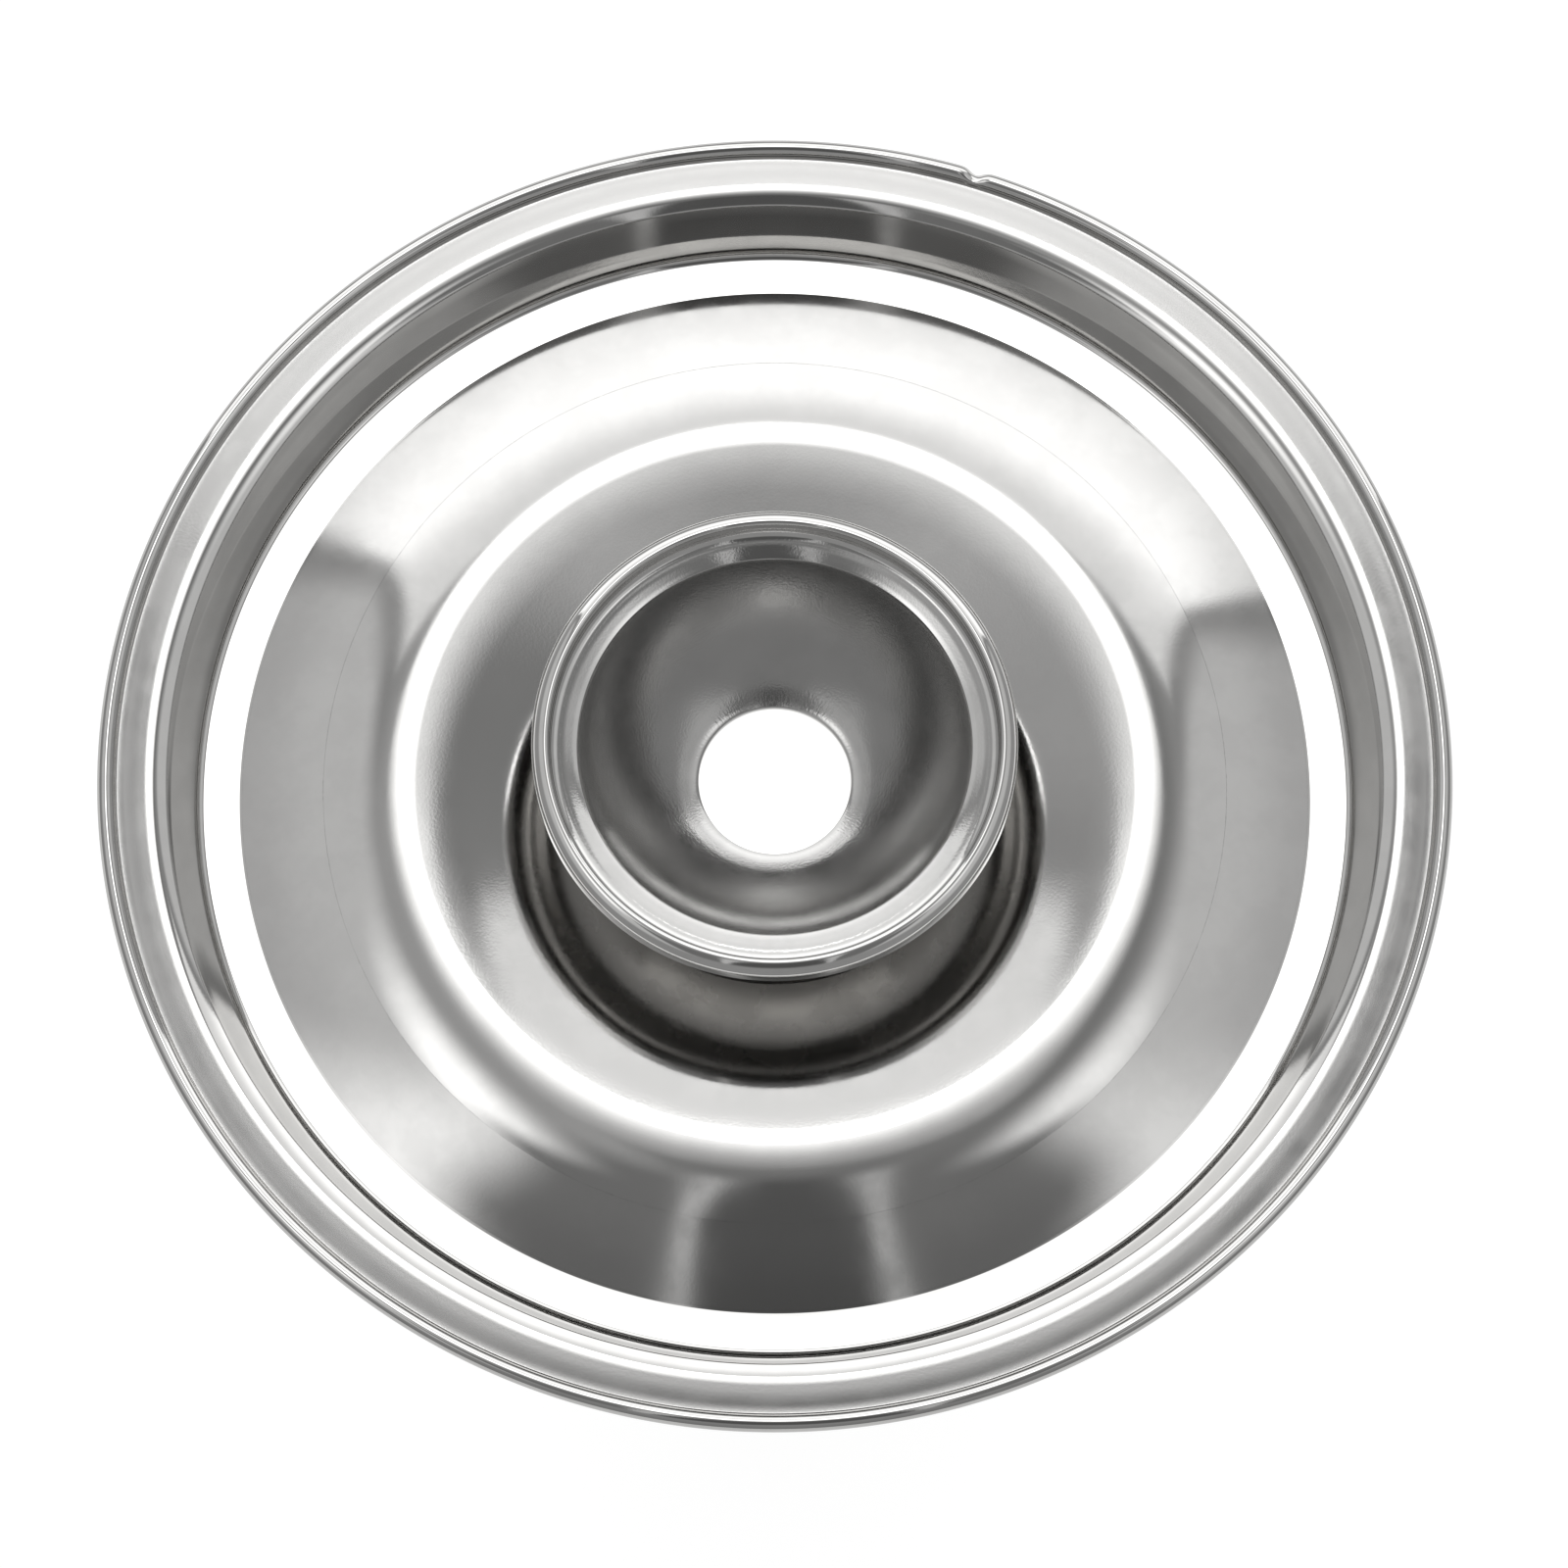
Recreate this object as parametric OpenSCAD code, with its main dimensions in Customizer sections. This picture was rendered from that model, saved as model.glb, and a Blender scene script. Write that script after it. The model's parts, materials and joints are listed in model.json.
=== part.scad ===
// Hand-held ring-batter dispenser: a funnel-shaped hopper, a pressed lid that
// lifts off it, and a palm button that pushes a coned disc out of the nozzle
// against a spring. Millimetres, +Z up, origin at the centre of the nozzle's
// lower rim, which the dispenser stands on.

/* [Heights] */
// Height of the lid's flat flange above the nozzle's lower rim
rim_h = 102; // [96:1:112]
// Height of the nozzle ring
nozzle_h = 16; // [12:1:20]
// Height of the hopper's straight collar under the lid's flange
collar_h = 9; // [7:0.5:14]

/* [Lid] */
// Outer diameter of the lid over its rolled edge
lid_d = 115; // [112:1:122]
// Thickness of the lid's sheet
lid_t = 0.5; // [0.4:0.05:0.6]
// Outside radius of the rolled edge
edge_bead_r = 0.75; // [0.7:0.05:0.9]
// How far the rolled edge stands above the flat flange
edge_bead_rise = 0.65; // [0.5:0.05:0.7]
// Width of the flat satin flange
flange_w = 2.7; // [2.2:0.1:3.4]
// Radius of the rounded shoulder inside the flange
shoulder_r = 4.4; // [3.5:0.1:5.5]
// Steepest slope of the shoulder, in degrees
shoulder_slope = 23; // [18:1:28]
// Depth of the floor ring below the flange
floor_drop = 6.4; // [5.8:0.1:7]
// How far the foot of the step wall lies inside the flange
wall_run = 4.5; // [4:0.1:5.2]
// Radius of the bend at the foot of the step wall
foot_bend_r = 0.8; // [0.5:0.1:1.2]
// Width of the flat floor ring
floor_ring_w = 3.1; // [2.6:0.1:3.6]
// Width of the slope from the floor ring up to the crest
band_w = 14.4; // [13.8:0.1:15]
// Depth of the crest below the flange
crest_drop = 3.3; // [2.9:0.1:3.7]
// Radius of curvature on the crest's outer side
crest_outer_bend = 25; // [20:1:30]
// Radius of curvature on the crest's inner side
crest_inner_bend = 10; // [8:0.5:12]
// Radius of the hole in the middle of the lid, under the cup
centre_hole_r = 17.4; // [17.2:0.1:18.4]
// Depth of that hole's edge below the flange
centre_hole_drop = 4.6; // [4.3:0.1:5]

/* [Guide well] */
// Thickness of the well's sheet
well_t = 0.5; // [0.4:0.05:0.6]
// Depth of the well's floor below the flange
well_drop = 18.3; // [18:0.1:20]
// Radius of the well at its floor bend
well_floor_r = 15.6; // [14:0.1:16.4]
// Radius of the bend round the well's floor
well_bend_r = 2; // [1:0.1:3]
// Length of the well's weld margin under the lid
well_margin = 3; // [2:0.1:3.2]

/* [Press cup] */
// Thickness of the cup's sheet
cup_t = 0.5; // [0.4:0.05:0.6]
// Radius of the cup's lip at its highest line
lip_r = 19.5; // [19.3:0.05:20]
// Height of the lip above the lid's flange
lip_rise = 9.2; // [8.8:0.1:9.6]
// Radius of the curled lip
lip_curl_r = 1; // [0.8:0.05:1.1]
// How far the lip's raw edge hangs below its top
lip_hang = 2.8; // [2.4:0.1:3.2]
// Radius of the crease between the cup's flare and its bowl
flare_r = 16.65; // [16.2:0.05:17]
// Height of that crease above the lid's flange
flare_rise = 7; // [6.6:0.1:7.4]
// Slope of the flare between that crease and the foot of the lip, in degrees
flare_slope = 11; // [8:1:16]
// Radius of the spherical bowl
bowl_r = 19.3; // [19:0.1:21]
// Radius of the collar round the cup's floor
dimple_r = 8.05; // [7.6:0.05:8.4]
// Radius of the cup's flat floor
cup_floor_r = 6.85; // [6.4:0.05:7.2]
// Depth of the cup's floor below the lid's flange
cup_floor_drop = 2.8; // [2.4:0.1:3.2]
// Slope of the collar round the cup's floor, rise over run
dimple_slope = 0.4; // [0.2:0.05:0.6]

/* [Rod, bush and spring] */
// Travel of the button from rest to its stop
stroke = 8.5; // [6:0.5:8.5]
// Radius of the push rod
rod_r = 2.5; // [2:0.1:3]
// Radial clearance of the rod in its bush
rod_fit = 0.05; // [0.02:0.01:0.08]
// Outer radius of the bush's barrel and neck
bush_r = 4; // [3.8:0.1:4.2]
// Radius of the bush's flange
bush_flange_r = 7; // [6.4:0.1:7.4]
// Thickness of the bush's flange
bush_flange_t = 1; // [0.8:0.1:1.2]
// Height of the bush's neck above its flange
bush_neck_h = 1.4; // [1:0.1:1.5]
// Length of the bush below the well's floor
bush_tail = 5.6; // [5.4:0.1:7]
// Outer radius of the socket under the cup
stem_r = 3.7; // [3.4:0.1:4]
// Length of the socket under the cup
stem_h = 3.2; // [2.4:0.1:3.4]
// Diameter of the spring's wire
wire_d = 0.9; // [0.7:0.05:0.9]
// Mean radius of the spring's coil
coil_r = 5.1; // [4.9:0.1:5.4]
// Turns in the spring
coil_turns = 4; // [3:0.5:4]
// Radius of the spring's upper washer
spring_washer_r = 6.6; // [6.2:0.1:7]
// Thickness of the washers
washer_t = 0.8; // [0.6:0.1:1]

/* [Nozzle and valve] */
// Bore radius of the nozzle ring
nozzle_r = 22.6; // [20:0.1:22.8]
// Wall of the nozzle ring above its foot
nozzle_t = 1; // [0.8:0.1:1.1]
// How far the nozzle's foot stands out past its wall
nozzle_step = 0.6; // [0.5:0.1:0.7]
// Height of the nozzle's foot
nozzle_foot_h = 7; // [5:0.5:8]
// Radial gap between the valve disc and the nozzle
valve_gap = 0.3; // [0.3:0.05:0.5]
// Height of the valve disc's rim above the standing plane at rest
valve_lift = 0.5; // [0.4:0.1:1]
// Depth of the valve disc's straight rim
valve_rim_h = 3; // [2.5:0.1:4]
// Rise of the valve disc's cone from rim to hub
valve_cone_rise = 3.4; // [3:0.1:4]
// Thickness of the valve disc
valve_t = 0.8; // [0.6:0.1:1]
// Radius of the valve disc's flat hub
hub_r = 6.4; // [6:0.1:7]

/* [Hopper] */
// Thickness of the hopper's sheet
hopper_t = 0.6; // [0.5:0.05:0.8]
// Radius of the roll at the hopper's mouth
mouth_bead_r = 1.2; // [1.1:0.05:1.3]
// Clearance between the lid's plug and the hopper's mouth
plug_gap = 0.3; // [0.3:0.05:0.5]
// Gap between the lid's flange and the hopper's mouth, where the lid rests
seat_gap = 0.1; // [0.05:0.05:0.2]

/* [Nuts and clip] */
// Width across flats of the bush's nut
bush_nut_af = 13; // [12:0.5:14]
// Height of the bush's nut
bush_nut_h = 3; // [2.5:0.1:3.2]
// Width across flats of the rod's nuts
rod_nut_af = 8; // [7.5:0.1:9]
// Height of the rod's nuts
rod_nut_h = 3; // [2.5:0.1:3.4]
// Outer radius of the stop clip
clip_r = 4.4; // [4:0.1:4.8]
// Thickness of the stop clip
clip_t = 0.8; // [0.6:0.1:1]
// Depth of the clip's groove in the rod
groove_d = 0.5; // [0.4:0.05:0.7]

/* [Hidden] */
$fn = 96;

seat = 0.02;          // clearance of parts that are screwed or welded together
bead_tuck = -100;     // angle at which the lid's rolled edge is cut off, under it
mouth_tuck = -60;     // the same for the hopper's rolled mouth
chamfer = 0.5;        // chamfer round the nozzle's lower edge
clip_gap = 0.8;       // half width of the clip's open side, over its inner radius
arc_n = 10;           // steps in one rounded bend
coil_sides = 8;       // sides of the spring's wire
coil_steps = 20;      // rings in one turn of the spring

// Heights of the faces that several pieces share
cup_floor_z = rim_h - cup_floor_drop;
cup_under_z = cup_floor_z - cup_t;
well_floor_z = rim_h - well_drop;
well_under_z = well_floor_z - well_t;
bush_seat_z = well_floor_z + bush_flange_t;
bush_end_z = well_under_z - bush_tail;
spring_top_z = cup_under_z - washer_t;
hub_top_z = valve_lift + valve_rim_h + valve_cone_rise;
hub_under_z = hub_top_z - valve_t;
rod_end_z = valve_lift + seat;
valve_r = nozzle_r - valve_gap;
neck_r = nozzle_r + nozzle_t + seat;

// Radii of the lid, from its rolled edge inward
flange_in_r = lid_d / 2 - 2 * edge_bead_r - flange_w;
floor_ring_r = flange_in_r - wall_run;
band_r = floor_ring_r - floor_ring_w;
crest_r = band_r - band_w;

// The lid's dished centre: the circle of its bend, the edge of the hole,
// and the angle at which its straight slope leaves that circle
dish_c = [crest_r, rim_h - crest_drop - crest_inner_bend];
dish_edge = [centre_hole_r, rim_h - centre_hole_drop];
dish_a = touch(dish_edge, dish_c, crest_inner_bend, -1);

// ---- Profiles -------------------------------------------------------------

function polar(r, a) = r * [cos(a), sin(a)];

// Points of an arc about c with radius r, from angle a to angle b; an arc that
// goes on from another one leaves out its first point
function arc(c, r, a, b, n = arc_n, first = 0) =
    [for (i = [first:n]) c + polar(r, a + (b - a) * i / n)];

// Angle, from 0 to 360, where the line from p touches the circle (c, r); side
// is +1 or -1
function touch(p, c, r, side) =
    (atan2(p.y - c.y, p.x - c.x) + side * acos(r / norm(p - c)) + 360) % 360;

function unit(v) = v / norm(v);
function left(v) = [-v.y, v.x];

// Left-hand normal at point i of a path, lengthened at corners so that a wall
// drawn with it keeps its thickness
function miter(path, i) =
    let (last = len(path) - 1,
         n1 = left(unit(path[max(i, 1)] - path[max(i, 1) - 1])),
         n2 = left(unit(path[min(i, last - 1) + 1] - path[min(i, last - 1)])))
    (n1 + n2) / (1 + n1 * n2);

// Closed section of a sheet that lies on the left of a path
function sheet(path, t) =
    concat(path, [for (i = [len(path) - 1:-1:0]) path[i] + t * miter(path, i)]);

// A sheet turned about the Z axis
module turned_sheet(path, t) {
    rotate_extrude() polygon(sheet(path, t));
}

// A washer, tube or disc with a hole, standing on z
module ring(r_out, r_in, h, z) {
    translate([0, 0, z]) difference() {
        cylinder(r = r_out, h = h);
        translate([0, 0, -1]) cylinder(r = r_in, h = h + 2);
    }
}

// A hexagonal nut of width af, with its corners turned off
module hex_nut(af, h, bore, z) {
    corner = af / 2 / cos(30);
    translate([0, 0, z]) difference() {
        intersection() {
            cylinder(r = corner, h = h, $fn = 6);
            rotate_extrude() polygon([
                [0, 0], [af / 2, 0], [corner, (corner - af / 2) / 2],
                [corner, h - (corner - af / 2) / 2], [af / 2, h], [0, h]]);
        }
        translate([0, 0, -1]) cylinder(r = bore, h = h + 2);
    }
}

// ---- Lid ------------------------------------------------------------------

// Outline of the lid's upper face, from the tucked-in end of its rolled edge
// to the hole in its middle
function lid_path() =
    let (bead_c = [lid_d / 2 - edge_bead_r, rim_h + edge_bead_rise - edge_bead_r],
         bead_foot = 180 - asin((edge_bead_r - edge_bead_rise) / edge_bead_r),
         shoulder_c = [flange_in_r, rim_h - shoulder_r],
         shoulder_end = shoulder_c + polar(shoulder_r, 90 + shoulder_slope),
         foot_c = [floor_ring_r, rim_h - floor_drop + foot_bend_r],
         band = [band_r, rim_h - floor_drop],
         crest_c = [crest_r, rim_h - crest_drop - crest_outer_bend])
    concat(
        arc(bead_c, edge_bead_r, bead_tuck, bead_foot, 2 * arc_n),
        arc(shoulder_c, shoulder_r, 90, 90 + shoulder_slope),
        arc(foot_c, foot_bend_r, touch(shoulder_end, foot_c, foot_bend_r, -1), 270),
        [band],
        arc(crest_c, crest_outer_bend, touch(band, crest_c, crest_outer_bend, 1), 90),
        arc(dish_c, crest_inner_bend, 90, dish_a, first = 1),
        [dish_edge]);

module lid() {
    color("gainsboro") turned_sheet(lid_path(), lid_t);
}

// The well's margin lies under the lid's dished centre, parallel to it
module guide_well() {
    edge = dish_edge - polar(lid_t + seat, dish_a);
    margin_end = edge - well_margin * left(polar(1, dish_a));
    bend_c = [well_floor_r - well_bend_r, well_floor_z + well_bend_r];
    path = concat(
        [margin_end, edge],
        arc(bend_c, well_bend_r, touch(edge, bend_c, well_bend_r, -1), 270),
        [[bush_r + seat, well_floor_z]]);
    color("silver") turned_sheet(path, well_t);
}

module guide_bush() {
    color("darkgray") difference() {
        union() {
            translate([0, 0, bush_end_z]) cylinder(r = bush_r, h = bush_seat_z + bush_neck_h - bush_end_z);
            translate([0, 0, well_floor_z]) cylinder(r = bush_flange_r, h = bush_flange_t);
        }
        translate([0, 0, bush_end_z - 1]) cylinder(r = rod_r + rod_fit, h = rim_h);
    }
}

module bush_washer() {
    color("silver") ring(bush_flange_r, bush_r + seat, washer_t, well_under_z - washer_t);
}

module bush_nut() {
    color("darkgray")
        hex_nut(bush_nut_af, bush_nut_h, bush_r + seat, well_under_z - washer_t - bush_nut_h);
}

// Height of the coil's wire centre at fraction u of its length, with the first
// and last half turns lying flat as closed ends do
function coil_z(u) =
    let (low = bush_seat_z + wire_d / 2 + seat,
         high = spring_top_z - wire_d / 2 - seat,
         flat = 0.5 / coil_turns,
         s = min(1, max(0, (u - flat) / (1 - 2 * flat))))
    low + (high - low) * (3 * s * s - 2 * s * s * s);

module return_spring() {
    rings = coil_steps * coil_turns;
    points = [
        for (i = [0:rings], k = [0:coil_sides - 1])
            let (a = 360 * i / coil_steps,
                 b = 360 * k / coil_sides,
                 r = coil_r + wire_d / 2 * cos(b))
            [r * cos(a), r * sin(a), coil_z(i / rings) + wire_d / 2 * sin(b)]];
    walls = [
        for (i = [0:rings - 1], k = [0:coil_sides - 1])
            let (a = i * coil_sides + k, b = i * coil_sides + (k + 1) % coil_sides)
            [a, b, b + coil_sides, a + coil_sides]];
    start_cap = [for (k = [coil_sides - 1:-1:0]) k];
    end_cap = [for (k = [0:coil_sides - 1]) rings * coil_sides + k];
    color("lightslategray") polyhedron(points, concat(walls, [start_cap], [end_cap]));
}

// ---- Button, rod and valve ------------------------------------------------

// Outline of the cup's upper face, from the lip's raw edge to the axis
function cup_path() =
    let (lip_z = rim_h + lip_rise,
         curl_c = [lip_r, lip_z - lip_curl_r],
         lip_foot_r = lip_r - lip_curl_r,
         crease = [flare_r, rim_h + flare_rise],
         lip_foot = [lip_foot_r, crease.y + (lip_foot_r - flare_r) * tan(flare_slope)],
         dimple = [dimple_r, cup_floor_z + (dimple_r - cup_floor_r) * dimple_slope],
         chord = crease - dimple,
         half = norm(chord) / 2,
         bowl_c = (crease + dimple) / 2
                + sqrt(bowl_r * bowl_r - half * half) * left(unit(chord)),
         from = crease - bowl_c,
         to = dimple - bowl_c)
    concat(
        [[lip_r + lip_curl_r, lip_z - lip_hang]],
        arc(curl_c, lip_curl_r, 0, 180),
        [lip_foot],
        arc(bowl_c, bowl_r, atan2(from.y, from.x), atan2(to.y, to.x), 2 * arc_n),
        [[cup_floor_r, cup_floor_z], [0, cup_floor_z]]);

module press_cup() {
    color("gainsboro") turned_sheet(cup_path(), cup_t);
}

module cup_stem() {
    color("darkgray") ring(stem_r, rod_r + seat, stem_h, cup_under_z - stem_h);
}

module spring_washer() {
    color("silver") ring(spring_washer_r, stem_r + seat, washer_t, spring_top_z);
}

module push_rod() {
    groove_z = bush_end_z - clip_t - seat;
    color("silver") difference() {
        translate([0, 0, rod_end_z]) cylinder(r = rod_r, h = cup_under_z - rod_end_z);
        ring(rod_r + 1, rod_r - groove_d, clip_t, groove_z);
    }
}

// Spring clip with an open side, which snaps into the rod's groove
module stop_clip() {
    groove_r = rod_r - groove_d + seat;
    z = bush_end_z - clip_t - seat;
    color("dimgray") difference() {
        ring(clip_r, groove_r, clip_t - seat, z);
        translate([0, -groove_r * clip_gap, z - 1])
            cube([clip_r + 1, 2 * groove_r * clip_gap, clip_t + 2]);
    }
}

module valve_disc() {
    path = [[valve_r, valve_lift], [valve_r, valve_lift + valve_rim_h], [hub_r, hub_top_z],
            [rod_r + seat, hub_top_z]];
    color("gainsboro") turned_sheet(path, valve_t);
}

module disc_nut() {
    color("darkgray") hex_nut(rod_nut_af, rod_nut_h, rod_r + seat, hub_top_z);
}

module disc_washer() {
    color("silver") ring(hub_r - valve_t, rod_r + seat, washer_t / 2, hub_under_z - washer_t / 2);
}

module end_nut() {
    color("darkgray")
        hex_nut(rod_nut_af, rod_nut_h, rod_r + seat, hub_under_z - washer_t / 2 - rod_nut_h);
}

// ---- Hopper ---------------------------------------------------------------

// Outline of the hopper's inner face, from the tucked-in end of its rolled
// mouth down to the end of the neck that is welded round the nozzle ring
module hopper() {
    plug_r = flange_in_r - shoulder_r * sin(shoulder_slope);
    mouth_r = plug_r + lid_t + plug_gap;
    bead_c = [mouth_r + mouth_bead_r, rim_h - lid_t - seat_gap - mouth_bead_r];
    path = concat(
        arc(bead_c, mouth_bead_r, mouth_tuck, 180, 2 * arc_n),
        [[mouth_r, rim_h - collar_h], [neck_r, nozzle_h], [neck_r, nozzle_foot_h + seat]]);
    color("gainsboro") turned_sheet(path, hopper_t);
}

module nozzle_ring() {
    wall_r = nozzle_r + nozzle_t;
    foot_r = wall_r + nozzle_step;
    color("silver") rotate_extrude() polygon([
        [nozzle_r, 0], [foot_r - chamfer, 0], [foot_r, chamfer], [foot_r, nozzle_foot_h],
        [wall_r, nozzle_foot_h], [wall_r, nozzle_h], [nozzle_r, nozzle_h]]);
}

hopper();
nozzle_ring();
lid();
guide_well();
guide_bush();
bush_washer();
bush_nut();
return_spring();
press_cup();
cup_stem();
spring_washer();
push_rod();
stop_clip();
valve_disc();
disc_nut();
disc_washer();
end_nut();
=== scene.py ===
# %% [markdown]
# A hand-held ring-batter dispenser, all in stainless steel. A pressed lid sits
# in the mouth of a funnel-shaped hopper. A small palm cup on the lid pushes a
# rod down through a guide bush, and a coned disc on the rod opens the nozzle.
# The imported model gives the place and the motion of every piece. This lesson
# gives each piece its finished surface and its steel, and then lights it.
# The first cell loads the imported model.

# %% Load the frame
import json
import math

import bpy
import numpy as np
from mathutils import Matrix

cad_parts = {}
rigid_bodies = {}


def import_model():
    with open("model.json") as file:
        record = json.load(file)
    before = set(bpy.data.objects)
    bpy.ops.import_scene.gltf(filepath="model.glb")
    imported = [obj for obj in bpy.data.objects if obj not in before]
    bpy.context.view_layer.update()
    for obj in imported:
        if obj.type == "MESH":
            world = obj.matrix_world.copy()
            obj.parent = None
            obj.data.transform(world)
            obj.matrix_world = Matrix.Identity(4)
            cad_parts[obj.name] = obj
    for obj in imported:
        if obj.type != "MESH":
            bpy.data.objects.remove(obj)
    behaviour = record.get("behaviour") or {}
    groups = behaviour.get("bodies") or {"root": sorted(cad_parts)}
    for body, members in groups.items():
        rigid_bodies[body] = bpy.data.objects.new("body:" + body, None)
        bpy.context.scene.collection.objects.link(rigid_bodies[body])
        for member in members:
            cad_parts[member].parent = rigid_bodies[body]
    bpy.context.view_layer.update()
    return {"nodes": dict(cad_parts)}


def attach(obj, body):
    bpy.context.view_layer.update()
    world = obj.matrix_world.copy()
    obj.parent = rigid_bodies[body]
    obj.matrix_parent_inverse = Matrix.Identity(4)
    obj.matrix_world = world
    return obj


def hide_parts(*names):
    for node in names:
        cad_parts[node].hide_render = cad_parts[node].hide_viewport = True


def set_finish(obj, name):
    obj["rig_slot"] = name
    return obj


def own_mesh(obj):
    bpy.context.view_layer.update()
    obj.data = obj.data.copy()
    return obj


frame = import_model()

nodes = frame["nodes"]
print("nodes:", ", ".join(sorted(nodes)))

# %% [markdown]
# Nearly every piece here is pressed, spun or turned, so its shape is an
# outline carried round the vertical axis. An outline is easiest to give as the
# few corners that a press tool maker would draw, each with the radius of its
# bend. Working in millimetres keeps the numbers readable, and the last step
# into the mesh turns them into metres.

# %% Outlines with rounded corners
MM = 0.001
BEND_STEPS = 8
STRAIGHT = 1e-4


def rounded(corners, steps=BEND_STEPS):
    """Outline through corners (r, z, bend radius), each corner rounded by an arc.

    At a corner that turns by the angle t, the arc of radius b starts and ends
    b * tan(t / 2) away from the corner, on its two lines. The arc's points are
    its centre plus b times the unit normal, turned in equal steps.
    """
    points = [np.array([corners[0][:2]], float)]
    for before, here, after in zip(corners, corners[1:], corners[2:]):
        p, radius = np.array(here[:2], float), here[2]
        into = p - np.array(before[:2], float)
        out = np.array(after[:2], float) - p
        into, out = into / np.hypot(*into), out / np.hypot(*out)
        turn = math.atan2(into[0] * out[1] - into[1] * out[0], into @ out)
        if radius == 0 or abs(turn) < STRAIGHT:
            points.append(p[None])
            continue
        side = math.copysign(1, turn)
        start = p - into * radius * math.tan(abs(turn) / 2)
        normal = side * np.array([-into[1], into[0]])
        centre = start + radius * normal
        count = here[3] if len(here) > 3 else steps
        a = np.linspace(0, turn, count + 1)
        spoke = -normal
        points.append(centre + radius * np.stack(
            [spoke[0] * np.cos(a) - spoke[1] * np.sin(a),
             spoke[0] * np.sin(a) + spoke[1] * np.cos(a)], 1))
    points.append(np.array([corners[-1][:2]], float))
    return np.concatenate(points)


def normals_of(path):
    """Unit left-hand normals of an outline, from the mean of its two sides."""
    step = np.diff(path, axis=0)
    step /= np.linalg.norm(step, axis=1, keepdims=True)
    mean = np.concatenate([step[:1], step[:-1] + step[1:], step[-1:]])
    mean /= np.linalg.norm(mean, axis=1, keepdims=True)
    return np.stack([-mean[:, 1], mean[:, 0]], 1)


def walled(path, t):
    """Closed outline of a sheet: the path, then the path moved t to its left, run back."""
    return np.concatenate([path, (path + t * normals_of(path))[::-1]])


def densified(path, longest):
    """The same outline with extra points, evenly spread on each line longer than longest."""
    out = [path[:1]]
    for a, b in zip(path, path[1:]):
        count = max(1, math.ceil(np.hypot(*(b - a)) / longest))
        out.append(a + (b - a) * (np.arange(1, count + 1) / count)[:, None])
    return np.concatenate(out)


print("outline helpers ready, bends in", BEND_STEPS, "steps")

# %% [markdown]
# An outline becomes a surface on a grid: one row for each point of the
# outline, one column for each angle round the axis. All vertices come from a
# single array product, and the quads come from index arrays, so there is no
# loop over vertices. The grid closes on itself round the axis, and for a piece
# with a hole also along the outline.

# %% Turned surfaces
def grid_quads(rows, columns, close_rows=False):
    """Quads between neighbours of a rows x columns grid that wraps round in its columns."""
    i = np.arange(rows if close_rows else rows - 1)[:, None]
    k = np.arange(columns)[None, :]
    i2, k2 = (i + 1) % rows, (k + 1) % columns
    corners = ((i, k), (i, k2), (i2, k2), (i2, k))
    return np.stack([(a * columns + b).ravel() for a, b in corners], 1)


def end_fans(rows, columns):
    """Triangles from two pole vertices, stored after the grid, to its first and last row."""
    k = np.arange(columns)
    k2, top = (k + 1) % columns, (rows - 1) * columns
    pole = np.full(columns, rows * columns)
    return np.concatenate([np.stack([pole, k2, k], 1), np.stack([pole + 1, top + k, top + k2], 1)])


def volume(points, faces):
    """Signed volume: the sum of a . (b x c) / 6 over triangles (a, b, c), with a fan per face."""
    a = points[faces[:, 0]]
    pairs = ((1, 2), (2, 3)) if faces.shape[1] == 4 else ((1, 2),)
    return sum((a * np.cross(points[faces[:, i]], points[faces[:, j]])).sum()
               for i, j in pairs) / 6


def mesh_piece(name, points, quads, fans=None, sharp_deg=35):
    """A smooth mesh from points in millimetres, turned inside out if its volume is negative."""
    parts = [quads] if fans is None else [quads, fans]
    if sum(volume(points, f) for f in parts) < 0:
        parts = [f[:, ::-1] for f in parts]
    mesh = bpy.data.meshes.new(name)
    mesh.from_pydata((points * MM).tolist(), [], [row for f in parts for row in f.tolist()])
    mesh.shade_smooth()
    mesh.set_sharp_from_angle(angle=math.radians(sharp_deg))
    piece = bpy.data.objects.new(name, mesh)
    bpy.context.scene.collection.objects.link(piece)
    return piece


def turned(name, path, columns=180, angles=None, bend=None, sharp_deg=35):
    """The surface r * cos(a), r * sin(a), z for each outline point (r, z) and each angle a.

    An outline that starts and ends on the axis gets a fan at each end, and any
    other one is closed on itself. bend may move the grid before it is meshed.
    """
    a = np.linspace(0, 2 * math.pi, columns, endpoint=False) if angles is None else angles
    on_axis = path[0, 0] == 0
    ring = path[1:-1] if on_axis else path
    r, z = ring[:, :1], ring[:, 1:]
    grid = np.stack([r * np.cos(a), r * np.sin(a), z + 0 * a], -1)
    if bend is not None:
        grid = bend(grid)
    points = grid.reshape(-1, 3)
    quads = grid_quads(len(ring), len(a), not on_axis)
    if not on_axis:
        return mesh_piece(name, points, quads, None, sharp_deg)
    points = np.concatenate([points, [[0, 0, path[0, 1]], [0, 0, path[-1, 1]]]])
    return mesh_piece(name, points, quads, end_fans(len(ring), len(a)), sharp_deg)


def finish(piece, body, node, slot):
    """Lets a new piece stand for its CAD node: same body, same slot."""
    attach(piece, body)
    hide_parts(node)
    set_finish(piece, slot)
    print(piece.name, "has", len(piece.data.polygons), "faces and rides on", body)


print("turning helpers ready")

# %% [markdown]
# The lid is one pressing of 0.5 mm sheet. From its edge inward it has a rolled
# bead, a narrow flange that falls outward by a hair, a rounded shoulder, a step
# wall down to a flat floor ring, and a broad raised ring that falls again
# towards the cup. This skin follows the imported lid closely, with finer and
# softer bends, because polished steel shows every bend in what it reflects.

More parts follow.
